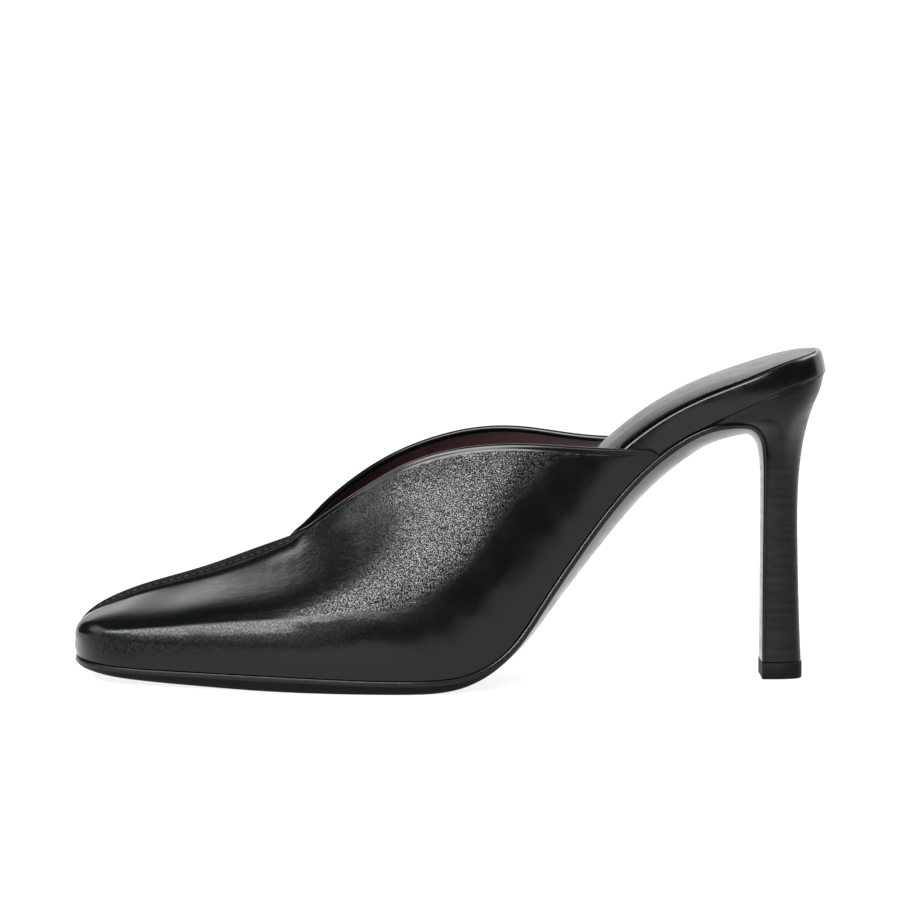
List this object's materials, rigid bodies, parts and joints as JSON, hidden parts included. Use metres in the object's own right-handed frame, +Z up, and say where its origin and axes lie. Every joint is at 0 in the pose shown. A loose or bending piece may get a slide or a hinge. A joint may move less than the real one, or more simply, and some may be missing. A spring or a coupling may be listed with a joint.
{
  "type": "mule slipper",
  "caption": "Left women's mule slipper with an almond toe, raised centre seam, V throat, open back, padded sock and slim high heel, in black leather.",
  "frame": {"origin": "on the floor, under the middle of the shoe's length and width", "axes": "+X from toe to heel, +Y to the inner side of the foot, +Z up"},
  "size_m": [0.226, 0.0762, 0.0997],
  "materials": {
    "upper_leather": "soft polished black calf with a fine grain",
    "footbed_wrap": "smooth black leather wrapped round the board",
    "sock_leather": "glossy black padded leather",
    "sole_leather": "black edge dressing, satin",
    "heel_stack": "polished black stacked layers",
    "lift_rubber": "matt black"
  },
  "bodies": {
    "root": {"upper": "upper_leather", "insole": "footbed_wrap", "sock": "sock_leather", "outsole": "sole_leather", "heel": "heel_stack", "top_lift": "lift_rubber"}
  },
  "joints": []
}
